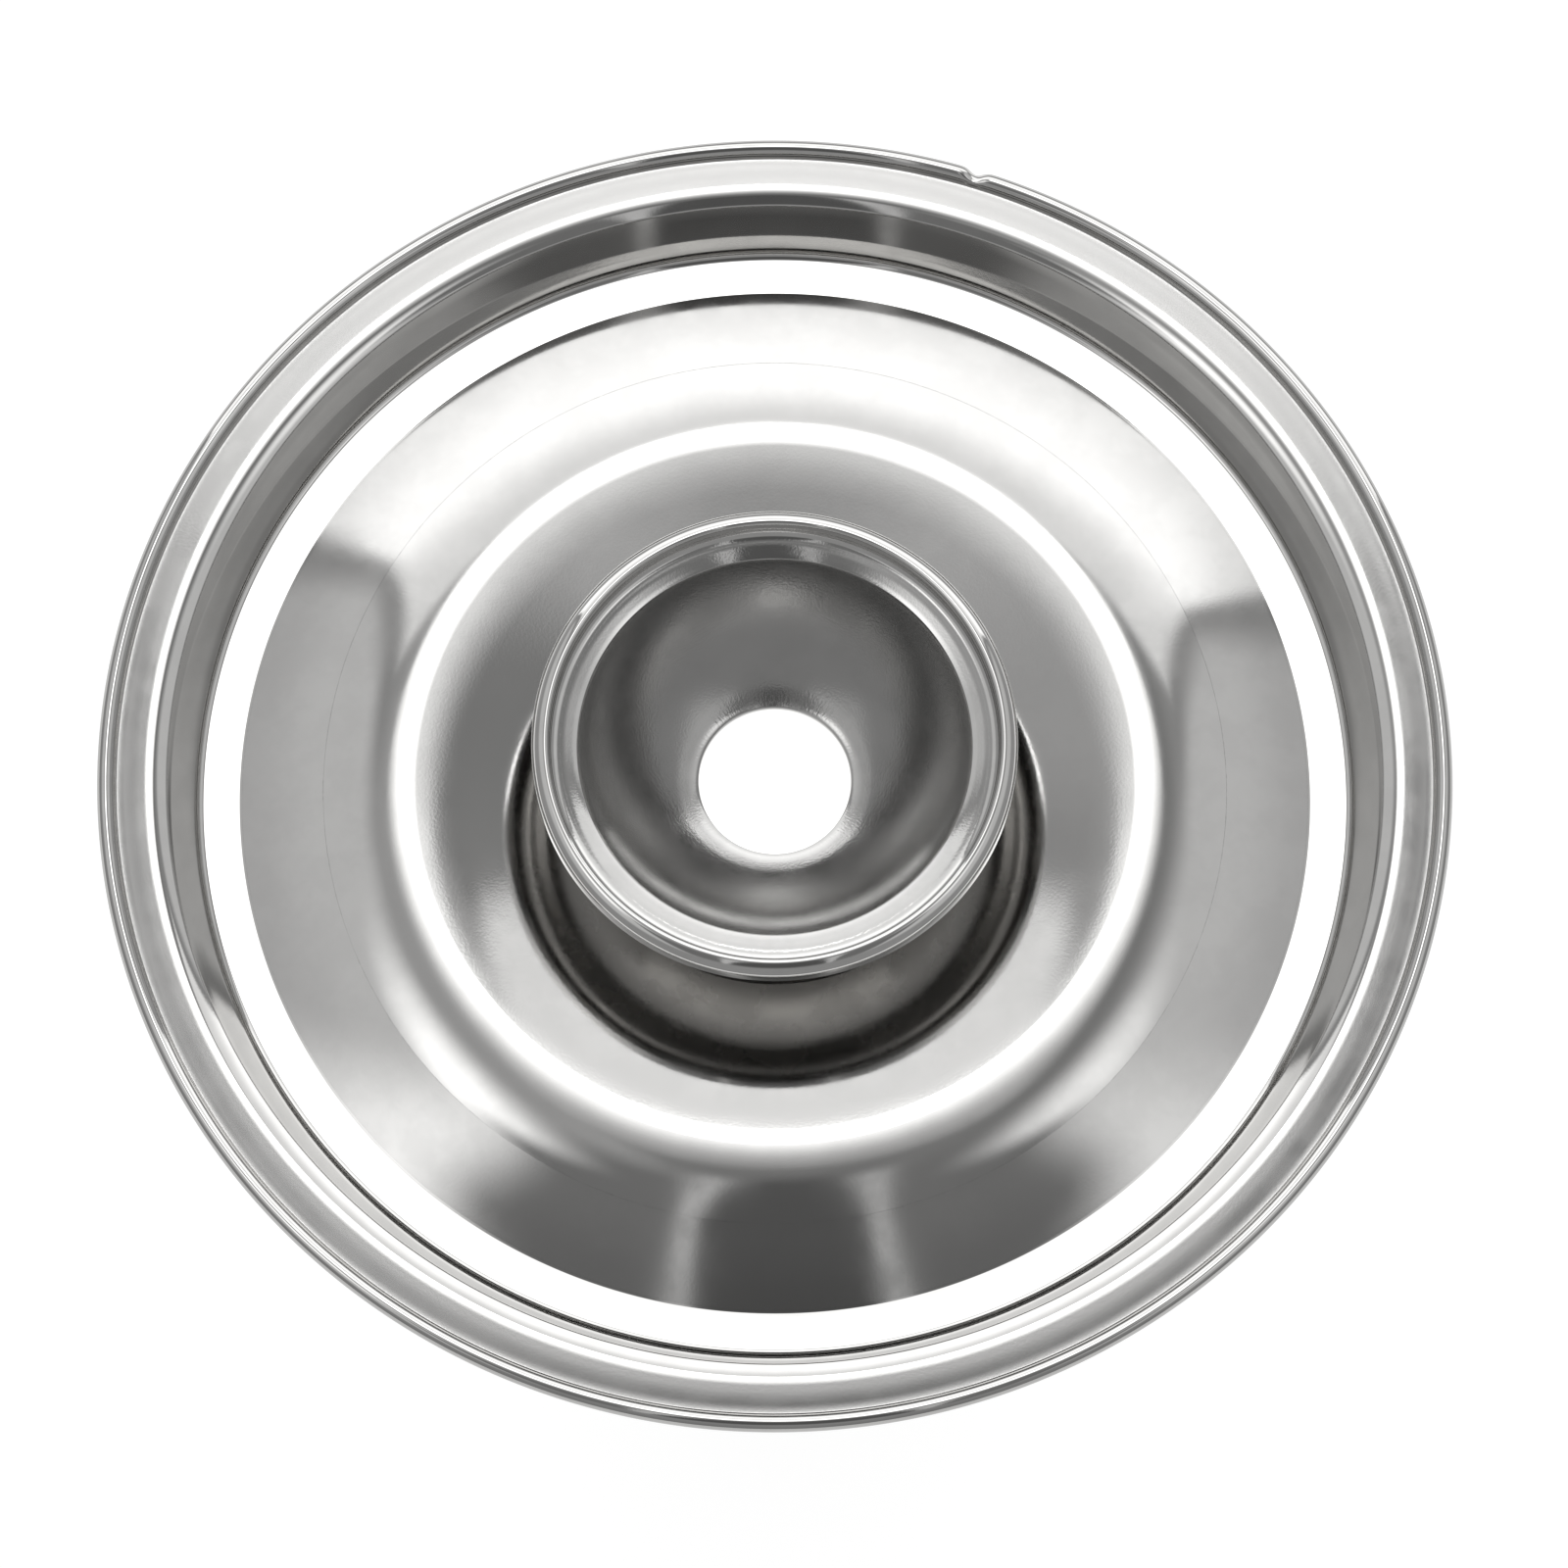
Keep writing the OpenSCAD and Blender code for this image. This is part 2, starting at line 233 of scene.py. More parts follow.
# %% The lid's outline
RIM_Z = 102.0
SHEET = 0.5
LID_R = 57.5
BEAD_R, BEAD_RISE = 0.75, 0.65
CREST_Z = RIM_Z - 3.3
FLOOR_Z = RIM_Z - 6.4


def arc(centre, radius, start_deg, end_deg, steps):
    """Points centre + radius * (cos a, sin a), for steps + 1 equal angles a."""
    a = np.radians(np.linspace(start_deg, end_deg, steps + 1))
    return np.array(centre) + radius * np.stack([np.cos(a), np.sin(a)], 1)


bead_centre = (LID_R - BEAD_R, RIM_Z + BEAD_RISE - BEAD_R)
lid_bead = arc(bead_centre, BEAD_R, -100, 168, 30)
flange = [(55.98, RIM_Z + 0.12), (55.9, RIM_Z - 0.22, 0.1, 4), (54.6, RIM_Z - 0.07, 20, 6),
          (53.4, RIM_Z, 6, 4), (52.42, RIM_Z, 3.7, 14)]
step_and_slope = [(51.58, RIM_Z - 0.36, 0.3, 4), (49.35, FLOOR_Z, 0.8, 8),
                  (45.75, FLOOR_Z, 0.3, 6), (42.2, RIM_Z - 5.5, 118, 8)]
crest_and_dish = [(35.42, CREST_Z, 25, 24), (31.02, CREST_Z, 10.3, 10),
                  (28.3, CREST_Z - 0.252, 100, 10), (17.4, CREST_Z - 1.648)]
lid_top = rounded(flange + step_and_slope + crest_and_dish)
lid_path = densified(np.concatenate([lid_bead, lid_top]), 1.2)
print("lid outline:", len(lid_path), "points, from r", lid_path[0, 0], "to", lid_path[-1, 0])

# %% [markdown]
# Real pressings aren't quite round: this one has a small nick in its bead,
# where it has been knocked. The nick moves the points of the bead only, by a
# bell curve of the distance round the rim, and the columns of the grid stand
# closer together there.

# %% The lid
NICK_DEG, NICK_DEPTH, NICK_LEN = 72.2, 0.38, 0.75
NICK_FROM_R, NICK_FADE, NICK_SINK = 55.9, 0.8, 0.8
LID_COLUMNS, NICK_COLUMNS, NICK_HALF_DEG = 420, 30, 1.9
even_angles = np.linspace(0, 360, LID_COLUMNS, endpoint=False)
nick_angles = NICK_DEG + np.linspace(-NICK_HALF_DEG, NICK_HALF_DEG, NICK_COLUMNS)
lid_angles = np.radians(np.sort(np.concatenate([even_angles, nick_angles])))


def with_nick(points):
    """Lid with its bead pressed in by depth * exp(-(s / length)^2), s measured round the rim.

    The depth fades in over the bead's inner side, and the bead sinks by a share of it.
    """
    r = np.hypot(points[..., 0], points[..., 1])
    s = (np.arctan2(points[..., 1], points[..., 0]) - math.radians(NICK_DEG)) * LID_R
    on_bead = np.clip((r - NICK_FROM_R) / NICK_FADE, 0, 1)
    depth = NICK_DEPTH * np.exp(-(s / NICK_LEN) ** 2) * on_bead
    moved = points.copy()
    moved[..., :2] *= (1 - depth / r)[..., None]
    moved[..., 2] -= NICK_SINK * depth
    return moved


lid = turned("lid_skin", walled(lid_path, SHEET), angles=lid_angles, bend=with_nick)
finish(lid, "cover", "lid", "lid_steel")

# %% [markdown]
# The palm cup is drawn from one disc of sheet: a raw edge, a roll that is
# broad outside and tight inside, a flare that slopes in to a crease, a round
# bowl, and a small collar round a flat floor. Its outline ends on the axis on
# both sides of the sheet, so the grid is closed there with two fans.

# %% The press cup
LIP_R, LIP_Z, CURL_R, TUCK_R = 19.3, RIM_Z + 9.2, 1.15, 0.35
LIP_HANG, LIP_DROP = 2.8, 1.0
FLARE_R, FLARE_Z = 16.65, RIM_Z + 7
LIP_FOOT_R, LIP_FOOT_Z = LIP_R - TUCK_R, RIM_Z + 7.42
BOWL_R = 19.3
COLLAR_R, CUP_FLOOR_R, CUP_FLOOR_Z = 8.05, 6.85, RIM_Z - 2.8
COLLAR_Z = CUP_FLOOR_Z + (COLLAR_R - CUP_FLOOR_R) * 0.4

edge, foot = np.array([FLARE_R, FLARE_Z]), np.array([COLLAR_R, COLLAR_Z])
chord = edge - foot
to_centre = np.array([-chord[1], chord[0]]) / np.hypot(*chord)
bowl_centre = (edge + foot) / 2 + math.sqrt(BOWL_R ** 2 - chord @ chord / 4) * to_centre
bowl_from, bowl_to = (math.degrees(math.atan2(*(p - bowl_centre)[::-1])) for p in (edge, foot))
lip = np.concatenate([arc((LIP_R, LIP_Z - CURL_R), CURL_R, 0, 90, 18),
                      arc((LIP_R, LIP_Z - TUCK_R), TUCK_R, 97, 172, 8)])
bowl = arc(bowl_centre, BOWL_R, bowl_from, bowl_to, 36)
flare = rounded([tuple(lip[-1]), (LIP_FOOT_R, LIP_FOOT_Z, 0.8, 8), (17.8, RIM_Z + 7.26, 6, 8),
                 (FLARE_R, FLARE_Z, 0.05, 3), tuple(bowl[1])])[1:-1]
collar = rounded([tuple(bowl[-1]), (CUP_FLOOR_R, CUP_FLOOR_Z, 3, 8), (0, CUP_FLOOR_Z)])[1:]
raw_edge = [[LIP_R + CURL_R, LIP_Z - LIP_HANG]]
cup_top = densified(np.concatenate([raw_edge, lip, flare, bowl[1:], collar]), 0.9)
cup_under = cup_top + SHEET * normals_of(cup_top)
CUP_COLUMNS = 360


def lip_out_of_level(points):
    """Cup whose lip dips towards the front: z falls by drop * s(h) * (1 - sin a) / 2.

    s is a smooth step of the height h between the raw edge and the lip's top, so
    the raw edge, the bowl and the floor stay level.
    """
    h = np.clip((points[..., 2] - LIP_Z + LIP_HANG) / LIP_HANG, 0, 1)
    a = np.arctan2(points[..., 1], points[..., 0])
    moved = points.copy()
    moved[..., 2] -= LIP_DROP * h * h * (3 - 2 * h) * (1 - np.sin(a)) / 2
    return moved


cup = turned("cup_skin", np.concatenate([cup_top[::-1], cup_under]), columns=CUP_COLUMNS,
             bend=lip_out_of_level)
finish(cup, "plunger", "press_cup", "cup_steel")

# %% [markdown]
# Under the cup, a drawn well hangs in the lid's hole, spot-welded to the lid.
# Its floor carries the turned bush that guides the rod. These pieces show when
# the lid is off, so they get the same care: outlines with small bends, and
# chamfers where a lathe would leave them. A screw thread is a turned surface
# whose radius also depends on the angle, so it is cut by moving the points.

# %% The guide well, the bush and the washers
WELL_FLOOR_Z = RIM_Z - 18.3
WELL_UNDER_Z = WELL_FLOOR_Z - SHEET
BUSH_R, ROD_R, FIT = 4.0, 2.5, 0.02
BUSH_SEAT_Z, BUSH_TOP_Z = WELL_FLOOR_Z + 1.0, WELL_FLOOR_Z + 2.4
BUSH_END_Z = WELL_UNDER_Z - 5.6
BUSH_CORE_R, BUSH_PITCH = 3.55, 1.25
WASHER_T = 0.8
ON_BUSH, ON_ROD = BUSH_R + FIT, ROD_R + FIT
SMALL_COLUMNS = 96


def ring_outline(r_in, r_out, z, h, c=0.12):
    """Closed outline of a ring of height h standing on z, its four corners cut off by c."""
    return np.array([
        (r_in, z + c), (r_in + c, z), (r_out - c, z), (r_out, z + c),
        (r_out, z + h - c), (r_out - c, z + h), (r_in + c, z + h), (r_in, z + h - c)])


def thread_cutter(core_r, crest_r, pitch, low, high):
    """A bend that cuts a screw thread between two heights.

    With u the fractional part of z / pitch - a / 2pi, a point between the core
    and the crest radius sinks by the depth times |2u - 1|. The depth fades in
    over one pitch at both ends.
    """
    def cut(grid):
        r = np.hypot(grid[..., 0], grid[..., 1])
        a = np.arctan2(grid[..., 1], grid[..., 0])
        z = grid[..., 2]
        u = (z / pitch - a / (2 * math.pi)) % 1
        fade = np.clip(np.minimum(z - low, high - z) / pitch, 0, 1)
        on_thread = (r > core_r) & (r < crest_r + 0.01)
        sink = np.where(on_thread, (crest_r - core_r) * fade * np.abs(2 * u - 1), 0)
        return grid * np.stack([1 - sink / r, 1 - sink / r, 1 + 0 * r], -1)
    return cut


well_path = rounded([(20.44, CREST_Z - 1.78), (17.45, CREST_Z - 2.163, 0.4, 5),
                     (15.31, WELL_FLOOR_Z, 2, 10), (ON_BUSH, WELL_FLOOR_Z)])
well = turned("guide_well_skin", walled(densified(well_path, 1.5), SHEET))
finish(well, "cover", "guide_well", "well_steel")

bush_outline = densified(np.array([
    (2.55, BUSH_END_Z + 0.3), (2.85, BUSH_END_Z), (3.6, BUSH_END_Z), (BUSH_R, BUSH_END_Z + 0.4),
    (BUSH_R, WELL_FLOOR_Z), (6.85, WELL_FLOOR_Z), (7, WELL_FLOOR_Z + 0.15),
    (7, BUSH_SEAT_Z - 0.15), (6.85, BUSH_SEAT_Z), (BUSH_R, BUSH_SEAT_Z),
    (BUSH_R, BUSH_TOP_Z - 0.2),
    (3.8, BUSH_TOP_Z), (2.75, BUSH_TOP_Z), (2.55, BUSH_TOP_Z - 0.2),
    (2.55, BUSH_END_Z + 0.3)]), 0.12)[:-1]
bush_thread = thread_cutter(BUSH_CORE_R, BUSH_R, BUSH_PITCH, BUSH_END_Z, WELL_UNDER_Z + 0.6)
bush = turned("guide_bush_skin", bush_outline, columns=SMALL_COLUMNS, bend=bush_thread)
finish(bush, "cover", "guide_bush", "turned_steel")

for name, body, node, sizes in (
        ("bush_washer_skin", "cover", "bush_washer",
         (ON_BUSH, 7, WELL_UNDER_Z - WASHER_T, WASHER_T)),
        ("spring_washer_skin", "plunger", "spring_washer",
         (3.72, 6.6, CUP_FLOOR_Z - SHEET - WASHER_T, WASHER_T)),
        ("disc_washer_skin", "plunger", "disc_washer", (ON_ROD, 5.6, 5.7, 0.4, 0.08))):
    finish(turned(name, ring_outline(*sizes), columns=SMALL_COLUMNS), body, node, "fastener_steel")

# %% [markdown]
# A hexagonal nut is also a turned surface. Its outer radius at the angle a is
# half the width across flats divided by cos(a), with a counted from the middle
# of the nearest flat. The corners are turned down by a 30 degree cone, which
# makes the curved edges that every real nut has.

# %% The nuts
FACE_SHARE, LEAD_IN = 0.97, 0.25
DISC_HUB_Z = 6.9


def nut(name, across, height, bore, z, columns=144):
    """Hexagonal nut standing on z, with rows for its bore, faces, chamfer cone and flats."""
    a = np.linspace(0, 2 * math.pi, columns, endpoint=False)
    level = 0 * a
    flat = across / 2
    out = flat / np.cos((a + math.pi / 6) % (math.pi / 3) - math.pi / 6)
    drop = (out - flat * FACE_SHARE) * math.tan(math.pi / 6)
    face, lead = level + flat * FACE_SHARE, level + bore + LEAD_IN
    radii = np.array([level + bore, lead, face, out, out, face, lead, level + bore])
    heights = np.array([level + LEAD_IN, level, level, drop, height - drop, level + height,
                        level + height, level + height - LEAD_IN])
    points = np.stack([radii * np.cos(a), radii * np.sin(a), z + heights], -1).reshape(-1, 3)
    return mesh_piece(name, points, grid_quads(len(radii), columns, True), sharp_deg=25)


for name, body, node, sizes in (
        ("bush_nut_skin", "cover", "bush_nut", (13, 3, ON_BUSH, WELL_UNDER_Z - WASHER_T - 3)),
        ("disc_nut_skin", "plunger", "disc_nut", (8, 3, ON_ROD, DISC_HUB_Z)),
        ("end_nut_skin", "plunger", "end_nut", (8, 3, ON_ROD, 2.7))):
    finish(nut(name, *sizes), body, node, "fastener_steel")

# %% [markdown]
# The return spring is a round wire on a helix, with its first and last half
# turns closed flat. The wire is a tube carried along the helix. Pressing the
# button shortens a real spring towards its seat on the bush.

# %% The return spring
WIRE_R, COIL_R, TURNS = 0.45, 5.1, 4
SPRING_LOW = BUSH_SEAT_Z + WIRE_R + FIT
SPRING_HIGH = CUP_FLOOR_Z - SHEET - WASHER_T - WIRE_R - FIT


def helix_wire(name, per_turn=72, sides=20):
    """Tube c(t) + w * (n cos b + m sin b) round the helix c(t) = (R cos t, R sin t, z(t)).

    n points outward from the axis, m is the cross product of the helix's
    direction and n, and z(t) eases between flat ends by 3s^2 - 2s^3.
    """
    u = np.linspace(0, 1, per_turn * TURNS + 1)
    t = 2 * math.pi * TURNS * u
    s = np.clip((u - 0.5 / TURNS) / (1 - 1 / TURNS), 0, 1)
    z = SPRING_LOW + (SPRING_HIGH - SPRING_LOW) * (3 * s ** 2 - 2 * s ** 3)
    centre = np.stack([COIL_R * np.cos(t), COIL_R * np.sin(t), z], 1)
    along = np.gradient(centre, axis=0)
    along /= np.linalg.norm(along, axis=1, keepdims=True)
    out = np.stack([np.cos(t), np.sin(t), 0 * t], 1)
    up = np.cross(along, out)
    b = np.linspace(0, 2 * math.pi, sides, endpoint=False)[None, :, None]
    tube = centre[:, None] + WIRE_R * (out[:, None] * np.cos(b) + up[:, None] * np.sin(b))
    points = np.concatenate([tube.reshape(-1, 3), centre[:1], centre[-1:]])
    return mesh_piece(name, points, grid_quads(len(u), sides), end_fans(len(u), sides))


spring = helix_wire("return_spring_skin")
finish(spring, "cover", "return_spring", "spring_steel")
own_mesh(spring)

# %% [markdown]
# The rod is welded into the socket under the cup. A groove near its middle
# holds the stop clip, and its lower end is threaded for the two nuts that
# clamp the coned disc.

# %% The socket, the rod and the disc
STEM_TOP_Z, STEM_R, STEM_H = CUP_FLOOR_Z - SHEET, 3.7, 3.2
stem_outline = ring_outline(ON_ROD, STEM_R, STEM_TOP_Z - STEM_H, STEM_H, 0.2)
stem = turned("cup_stem_skin", densified(stem_outline, 0.3), columns=SMALL_COLUMNS)
finish(stem, "plunger", "cup_stem", "turned_steel")

GROOVE_TOP_Z, THREAD_TOP_Z, ROD_END_Z = BUSH_END_Z - FIT, 12.0, 0.52
GROOVE_R, ROD_CORE_R, ROD_PITCH = 2.0, 2.05, 0.8
rod_shank = densified(np.array([
    (0, STEM_TOP_Z), (ROD_R, STEM_TOP_Z), (ROD_R, GROOVE_TOP_Z), (GROOVE_R, GROOVE_TOP_Z),
    (GROOVE_R, GROOVE_TOP_Z - WASHER_T), (ROD_R, GROOVE_TOP_Z - WASHER_T),
    (ROD_R, THREAD_TOP_Z)]), 1.5)
rod_thread = densified(np.array([
    (ROD_R, THREAD_TOP_Z), (ROD_R, ROD_END_Z + 0.5), (2, ROD_END_Z), (0, ROD_END_Z)]), 0.1)
rod_outline = np.concatenate([rod_shank[:-1], rod_thread])
rod = turned("push_rod_skin", rod_outline, columns=64,
             bend=thread_cutter(ROD_CORE_R, ROD_R, ROD_PITCH, ROD_END_Z, THREAD_TOP_Z))
finish(rod, "plunger", "push_rod", "rod_steel")

DISC_R, DISC_RIM_Z, DISC_T = 22.3, 0.5, 0.8
disc_path = rounded([(DISC_R, DISC_RIM_Z), (DISC_R, 3.5, 0.6, 6), (6.4, DISC_HUB_Z, 1.2, 6),
                     (ON_ROD, DISC_HUB_Z)])
disc = turned("valve_disc_skin", walled(densified(disc_path, 1.2), DISC_T), columns=240)
finish(disc, "plunger", "valve_disc", "valve_steel")

# %% [markdown]
# The hopper is a spun cone with a rolled mouth and a short straight collar,
# and its neck is welded round the nozzle ring. The ring is turned from bar,
# with a stepped foot that the dispenser stands on.

# %% The hopper and the nozzle ring
MOUTH_R, ROLL_R, HOPPER_T, HOPPER_COLUMNS = 52.38, 1.2, 0.6, 320
NECK_R, NOZZLE_TOP_Z, FOOT_Z = 23.62, 16.0, 7.0
mouth_centre = (MOUTH_R + ROLL_R, RIM_Z - SHEET - 0.1 - ROLL_R)
hopper_path = np.concatenate([
    arc(mouth_centre, ROLL_R, -60, 178, 24),
    rounded([(MOUTH_R, 100.2), (MOUTH_R, 93, 2.5, 8), (NECK_R, NOZZLE_TOP_Z, 2.5, 8),
             (NECK_R, FOOT_Z + FIT)])])
hopper = turned("hopper_skin", walled(densified(hopper_path, 2.5), HOPPER_T),
                columns=HOPPER_COLUMNS)
finish(hopper, "base", "hopper", "hopper_steel")

nozzle_path = densified(np.array([
    (22.6, 0.4), (22.9, 0), (23.7, 0), (24.2, 0.5), (24.2, FOOT_Z - 0.15), (24.05, FOOT_Z),
    (23.6, FOOT_Z), (23.6, NOZZLE_TOP_Z), (22.85, NOZZLE_TOP_Z), (22.6, NOZZLE_TOP_Z - 0.4)]), 2.5)
nozzle = turned("nozzle_ring_skin", nozzle_path, columns=HOPPER_COLUMNS)
finish(nozzle, "base", "nozzle_ring", "turned_steel")

# %% [markdown]
# The finishes come next. Steel is a plain metal shader; what makes it read as
# pressed, brushed or turned steel is how its tiny surface slopes vary. Each
# kind of slope is a node group that puts out a height or a mask, and the
# materials use them with their own values. Writing node trees takes many
# lines, so a small builder places and links the nodes.

# %% A small node builder
class Tree:
    """Adds nodes to a node tree: a socket given for an input is linked, any other value is set."""

    def __init__(self, tree):
        self.tree = tree

    def add(self, kind, inputs=None, **settings):
        node = self.tree.nodes.new(kind)
        for key, value in settings.items():
            setattr(node, key, value)
        for key, value in (inputs or {}).items():
            if isinstance(value, bpy.types.NodeSocket):
                self.tree.links.new(value, node.inputs[key])
            else:
                node.inputs[key].default_value = value
        return node

    def math(self, operation, a, b=0.0):
        return self.add("ShaderNodeMath", {0: a, 1: b}, operation=operation).outputs[0]

    def sum(self, *terms):
        """The sum of the terms; a pair (mask, amount) counts as the product of its two."""
        sockets = [self.math("MULTIPLY", *x) if isinstance(x, tuple) else x for x in terms]
        total = sockets.pop()
        while sockets:
            total = self.math("ADD", sockets.pop(), total)
        return total

    def step(self, value, low, high, from_value=0.0, to_value=1.0):
        """Smooth step of value, from from_value at low to to_value at high."""
        keys = {"Value": value, 1: low, 2: high, 3: from_value, 4: to_value}
        return self.add("ShaderNodeMapRange", keys, interpolation_type="SMOOTHSTEP").outputs[0]

    def band(self, value, rise, fall):
        """Mask that goes from 0 to 1 over the pair rise and back to 0 over the pair fall."""
        return self.math("MULTIPLY", self.step(value, *rise), self.step(value, *fall, 1.0, 0.0))

    def noise(self, vector, scale, detail=2.0, roughness=0.5):
        keys = {"Vector": vector, "Scale": scale, "Detail": detail, "Roughness": roughness}
        return self.add("ShaderNodeTexNoise", keys).outputs["Fac"]

    def scaled(self, vector, factor):
        """The vector or colour times the factor."""
        return self.add(
            "ShaderNodeVectorMath", {0: vector, 3: factor}, operation="SCALE").outputs[0]

    def mix(self, fac, a, b):
        """The number a where fac is 0 and b where it is 1."""
        return self.add("ShaderNodeMix", {0: fac, 2: a, 3: b}, data_type="FLOAT").outputs[0]

    def tint(self, fac, a, b):
        """The colour a where fac is 0 and b where it is 1."""
        return self.add("ShaderNodeMix", {0: fac, 6: a, 7: b}, data_type="RGBA").outputs[2]


def new_group(name, inputs, outputs):
    """An empty node group with float or vector sockets: its tree, its inputs and its result.

    The result is a function that links a socket to the output of that name.
    """
    group = bpy.data.node_groups.new(name, "ShaderNodeTree")
    kinds = {"f": "NodeSocketFloat", "v": "NodeSocketVector"}
    for key, kind in inputs.items():
        group.interface.new_socket(key, in_out="INPUT", socket_type=kinds[kind])
    for key, kind in outputs.items():
        group.interface.new_socket(key, in_out="OUTPUT", socket_type=kinds[kind])
    given, end = group.nodes.new("NodeGroupInput").outputs, group.nodes.new("NodeGroupOutput")
    return Tree(group), given, lambda key, value: group.links.new(value, end.inputs[key])


print("node builder ready")

# %% [markdown]
# All wear and grain on a spun piece runs in circles, so the first group turns
# a point into ring coordinates: its radius in millimetres, and a direction
# vector (x / r, y / r, 0), which has no seam where the angle starts again.

# %% Ring coordinates
t, given, result = new_group(
    "ring_coordinates", {}, {"Radius": "f", "Round": "v", "Height": "f", "Point": "v"})
point = t.add("ShaderNodeTexCoord").outputs["Object"]
split = t.add("ShaderNodeSeparateXYZ", {0: point}).outputs
flat = t.add("ShaderNodeCombineXYZ", {0: split[0], 1: split[1]}).outputs[0]
length = t.add("ShaderNodeVectorMath", {0: flat}, operation="LENGTH").outputs["Value"]
result("Radius", t.math("MULTIPLY", length, 1 / MM))
result("Round", t.add("ShaderNodeVectorMath", {0: flat}, operation="NORMALIZE").outputs[0])
result("Height", t.math("MULTIPLY", split[2], 1 / MM))
result("Point", point)
RING = t.tree

# %% [markdown]
# Brushing round the axis is noise that changes fast across the brush lines and
# slowly along them. Grain, the orange-peel skin of sheet that has been
# stretched by the press, is a fine noise that is the same in all directions. A
# far broader noise gives the soft patches in which a finish is never even.

# %% Brushing and grain
t, given, result = new_group(
    "ring_brushing", {"Round": "v", "Across": "f", "Along scale": "f", "Across scale": "f"},
    {"Height": "f"})
spin = t.scaled(given["Round"], given["Along scale"])
across = t.math("MULTIPLY", given["Across"], given["Across scale"])
lift = t.add("ShaderNodeCombineXYZ", {2: across}).outputs[0]
where = t.add("ShaderNodeVectorMath", {0: spin, 1: lift}, operation="ADD").outputs[0]
result("Height", t.noise(where, 1.0, 3.0, 0.6))
BRUSHING = t.tree

PATCH_SCALE = 0.06
t, given, result = new_group(
    "press_grain", {"Point": "v", "Scale": "f"}, {"Height": "f", "Patches": "f"})
fine = t.noise(given["Point"], given["Scale"], 2.0, 0.55)
broad = t.noise(given["Point"], t.math("MULTIPLY", given["Scale"], PATCH_SCALE), 3.0, 0.6)
result("Height", fine)
result("Patches", t.step(broad, 0.35, 0.65))
GRAIN = t.tree
print("groups:", [g.name for g in bpy.data.node_groups])

# %% [markdown]
# Each steel is one material: ring coordinates, brushing and grain feed the
# height of a bump, and broad patches shift the roughness and the colour a
# little. The lid and the cup change their finish from ring to ring, so their
# amounts follow the radius, and with them a painted shade that darkens the
# colour: on the lid's outer slope, on the outer side of its bead and in the
# cup's bowl. The lid has a satin flange, a mirror floor ring, a brushed slope
# and a grained centre. The under side of the cup gets a duller steel of its
# own, whose darker colour is painted shade.

# %% Steel materials
STEEL = (0.66, 0.655, 0.645, 1.0)
PATCH_SHADE = 0.955
PATCH_ROUGH_LOW, PATCH_ROUGH_SPAN = 0.85, 0.3
# factors of painted shade: the lid's outer slope, the outer side of its bead, the cup's bowl
PAINTED_SLOPE_SHADE, PAINTED_BEAD_SHADE, PAINTED_BOWL_SHADE = 0.82, 0.6, 0.7


def steel_material(name, colour, brushing, grain, amounts, across="Radius", aniso=0.0):
    """Metal with ring brushing, at the scales (along, across), and grain, at its own scale.

    amounts is (line height, grain height, roughness, painted shade), the heights
    in millimetres, or a function that gives these four by rings of the radius. The
    painted shade, where it is not None, darkens the base colour.
    """
    material = bpy.data.materials.new(name)
    material.use_nodes = True
    t = Tree(material.node_tree)
    shader = material.node_tree.nodes["Principled BSDF"]
    shader.inputs["Metallic"].default_value = 1.0
    shader.inputs["Anisotropic"].default_value = aniso
    ring = t.add("ShaderNodeGroup", node_tree=RING).outputs
    brushed = {"Round": ring["Round"], "Across": ring[across],
               "Along scale": brushing[0], "Across scale": brushing[1]}
    lines = t.add("ShaderNodeGroup", brushed, node_tree=BRUSHING).outputs["Height"]
    grained = {"Point": ring["Point"], "Scale": grain}
    skin = t.add("ShaderNodeGroup", grained, node_tree=GRAIN).outputs
    line_height, grain_height, rough, painted_shade = (
        amounts(t, ring["Radius"]) if callable(amounts) else amounts)
    height = t.sum((lines, line_height), (skin["Height"], grain_height))
    bump = t.add("ShaderNodeBump", {"Height": height, "Distance": MM, "Strength": 1.0})
    material.node_tree.links.new(bump.outputs[0], shader.inputs["Normal"])
    uneven = t.sum(PATCH_ROUGH_LOW, (skin["Patches"], PATCH_ROUGH_SPAN))
    material.node_tree.links.new(t.math("MULTIPLY", rough, uneven), shader.inputs["Roughness"])
    darker = tuple(c * PATCH_SHADE for c in colour[:3]) + (1.0,)
    base = t.tint(skin["Patches"], colour, darker)
    # painted shade: the base colour is darkened by this factor
    if painted_shade is not None:
        base = t.scaled(base, painted_shade)
    material.node_tree.links.new(base, shader.inputs["Base Color"])
    if aniso:
        tangent = t.add("ShaderNodeTangent", direction_type="RADIAL", axis="Z")
        material.node_tree.links.new(tangent.outputs[0], shader.inputs["Tangent"])
    return material


def lid_amounts(t, r):
    """The flange is satin, the slope brushed, the centre grained, the rest like a mirror; painted
    shade darkens the outer slope and the bead's outer side.
    """
    on_slope = t.band(r, (30.5, 33.5), (45.4, 45.8))
    on_centre = t.step(r, 29.0, 31.8, 1.0, 0.0)
    on_flange = t.band(r, (53.2, 53.5), (55.8, 56.0))
    line_height = t.sum((on_slope, 0.0003), (on_flange, 0.0004))
    grain_height = t.sum(0.0004, (on_centre, 0.0008), (on_flange, 0.002))
    rough = t.sum(0.05, (on_slope, 0.03), (on_centre, 0.02), (on_flange, 0.12))
    # painted shade: darker colour on the outer part of the slope and on the bead's outer side
    painted_slope_shade = t.step(r, 39.0, 45.5, 1.0, PAINTED_SLOPE_SHADE)
    painted_bead_shade = t.step(r, 56.9, 57.4, 1.0, PAINTED_BEAD_SHADE)
    full_again = t.step(r, 45.6, 45.8, 0.0, 1 - PAINTED_SLOPE_SHADE)
    return line_height, grain_height, rough, t.sum((painted_slope_shade, painted_bead_shade), full_again)


